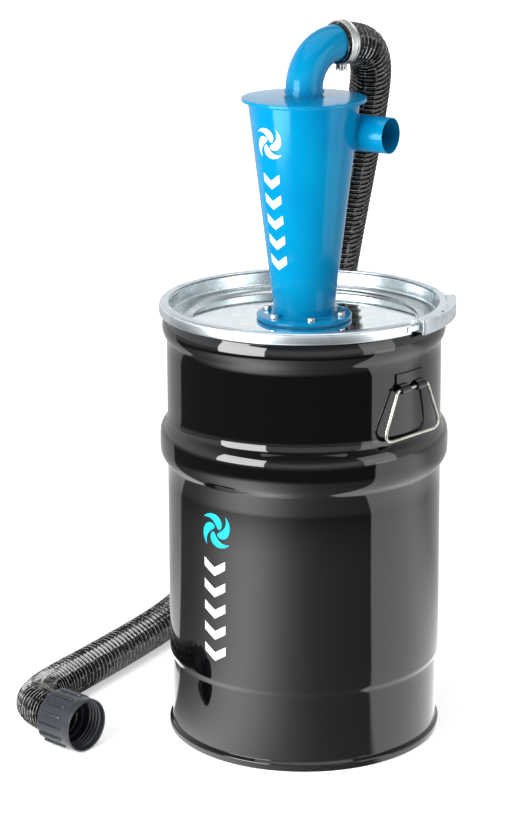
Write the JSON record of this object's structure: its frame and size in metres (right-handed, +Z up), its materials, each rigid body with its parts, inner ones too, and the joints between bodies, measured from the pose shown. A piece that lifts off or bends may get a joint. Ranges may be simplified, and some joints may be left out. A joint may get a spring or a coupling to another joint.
{
  "type": "cyclone dust collector",
  "caption": "Steel cyclone dust separator bolted to the clamped lid of a black drum with bail handles, a tangential inlet and a spiral suction hose ending in a threaded coupling.",
  "frame": {"origin": "on the floor under the middle of the drum", "axes": "+Z up along the drum's axis; the outlet elbow heads to +X +Y and the inlet stub opens to +X -Y"},
  "size_m": [0.6201, 0.7071, 0.997],
  "materials": {
    "drum_paint": "gloss",
    "blue_paint": "gloss",
    "galvanised_lid": "bright galvanised",
    "zinc_ring": "zinc plated",
    "zinc_hardware": "zinc plated",
    "zinc_wire": "zinc plated wire",
    "gasket_rubber": "matte",
    "hose_plastic": "semi-gloss",
    "coupling_plastic": "satin"
  },
  "bodies": {
    "drum": {"drum_shell": "drum_paint", "drum_bottom": "drum_paint", "handle_bracket_right": "drum_paint", "handle_bracket_left": "drum_paint", "lid": "galvanised_lid", "lid_gasket": "gasket_rubber", "closing_ring": "zinc_ring", "closing_link": "zinc_ring", "ring_pivot_lug": "zinc_ring", "lever_pivot_pin": "zinc_hardware", "flange_gasket": "gasket_rubber", "cyclone_flange": "blue_paint", "cyclone_cone": "blue_paint", "cyclone_top_plate": "blue_paint", "vortex_finder": "blue_paint", "outlet_collar": "blue_paint", "outlet_elbow": "blue_paint", "inlet_stub": "blue_paint", "flange_bolts": "zinc_hardware", "flange_washers": "zinc_hardware", "flange_nuts": "zinc_hardware", "hose_clamp_band": "zinc_hardware", "hose_clamp_screw": "zinc_hardware", "hose": "hose_plastic", "hose_cuff": "coupling_plastic"},
    "right_bail": {"bail_right": "zinc_wire"},
    "left_bail": {"bail_left": "zinc_wire"},
    "lever": {"closing_lever": "zinc_ring"},
    "coupling": {"coupling_nut": "coupling_plastic"}
  },
  "joints": [
    {"name": "bail_right_swing", "type": "hinge", "parent": "drum", "child": "right_bail", "pos_m": [0.14558, -0.13108, 0.526], "axis": [-0.6691, -0.7431, 0], "range_deg": [0, 105]},
    {"name": "bail_left_swing", "type": "hinge", "parent": "drum", "child": "left_bail", "pos_m": [-0.14558, 0.13108, 0.526], "axis": [0.6691, 0.7431, 0], "range_deg": [0, 105]},
    {"name": "lever_swing", "type": "hinge", "parent": "drum", "child": "lever", "pos_m": [0.16014, -0.1283, 0.608], "axis": [0, 0, -1], "range_deg": [0, 120]},
    {"name": "coupling_nut_spin", "type": "hinge", "parent": "drum", "child": "coupling", "pos_m": [-0.334, -0.096, 0.039], "axis": [0.7615, -0.6481, 0], "continuous": true}
  ]
}
